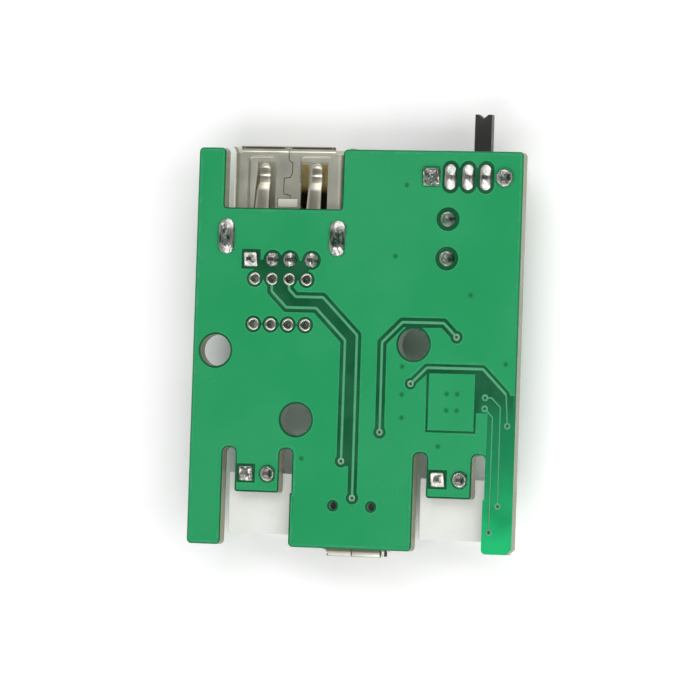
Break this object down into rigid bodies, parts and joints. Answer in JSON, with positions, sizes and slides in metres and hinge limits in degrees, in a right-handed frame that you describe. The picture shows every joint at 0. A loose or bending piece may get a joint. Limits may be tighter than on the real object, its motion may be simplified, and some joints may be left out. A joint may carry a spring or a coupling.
{
  "type": "lithium battery charger module",
  "caption": "Two-sided charger board with a large and a small power socket, battery headers in forked edge slots and a slide switch, lying solder side up.",
  "frame": {"origin": "middle of the outline seen from above, on the surface that the module lies on", "axes": "+X across the board towards the slide switch, +Y along it towards the large socket, +Z out of the solder face"},
  "size_m": [0.0372, 0.0488, 0.0086],
  "materials": {
    "laminate": "glass fibre laminate under solder mask, tan at its cut edges",
    "mask_over_copper": "green solder mask over copper foil",
    "tin": "tinned copper",
    "solder": "bright solder",
    "shell_steel": "nickel plated sheet",
    "contact_brass": "plated brass contacts",
    "pin_tin": "tinned pins",
    "white_plastic": "moulded white plastic",
    "black_plastic": "moulded black plastic",
    "switch_board": "brown phenolic sheet",
    "ferrite": "grey ferrite",
    "copper_wire": "enamelled copper wire",
    "chip_resin": "black moulding resin",
    "chip_lead": "tinned lead",
    "capacitor_ceramic": "fired ceramic",
    "resistor_ceramic": "glazed black film on ceramic",
    "light_base": "white moulding",
    "light_lens": "clear resin",
    "can_aluminium": "drawn aluminium"
  },
  "bodies": {
    "module": {"circuit_board": "laminate", "solder_side_copper": "mask_over_copper", "component_side_copper": "mask_over_copper", "surface_pads": "tin", "spare_hole_rings": "tin", "via_rings": "tin", "usb_a_shell": "shell_steel", "usb_a_contacts": "contact_brass", "usb_a_insulator": "white_plastic", "usb_a_pin_solder": "solder", "usb_a_leg_solder": "solder", "micro_usb_shell": "shell_steel", "micro_usb_contacts": "contact_brass", "micro_usb_insulator": "black_plastic", "battery_header_left": "white_plastic", "battery_header_left_pins": "pin_tin", "battery_header_left_solder": "solder", "battery_header_right": "white_plastic", "battery_header_right_pins": "pin_tin", "battery_header_right_solder": "solder", "switch_base": "switch_board", "switch_terminals": "pin_tin", "switch_bracket": "shell_steel", "switch_terminal_solder": "solder", "switch_leg_solder": "solder", "inductor_core": "ferrite", "inductor_winding": "copper_wire", "inductor_pins": "pin_tin", "inductor_solder": "solder", "rectifier_diode": "chip_resin", "rectifier_diode_terminals": "chip_lead", "output_capacitor_base": "black_plastic", "output_capacitor_can": "can_aluminium", "output_capacitor_leads": "chip_lead", "charge_controller": "chip_resin", "charge_controller_leads": "chip_lead", "boost_converter": "chip_resin", "boost_converter_leads": "chip_lead", "power_management_chip": "chip_resin", "power_management_chip_leads": "chip_lead", "battery_protection_switch": "chip_resin", "battery_protection_switch_leads": "chip_lead", "battery_protection_chip": "chip_resin", "battery_protection_chip_leads": "chip_lead", "chip_capacitors": "capacitor_ceramic", "chip_capacitor_ends": "tin", "chip_resistors": "resistor_ceramic", "chip_resistor_ends": "tin", "status_light_bases": "light_base", "status_light_ends": "tin", "status_light_lenses": "light_lens"},
    "switch_lever": {"switch_slider": "black_plastic", "switch_contact_clip": "contact_brass"}
  },
  "joints": [
    {"name": "switch_slide", "type": "slide", "parent": "module", "child": "switch_lever", "axis": [1, 0, 0], "range_m": [-0.0015, 0]}
  ]
}
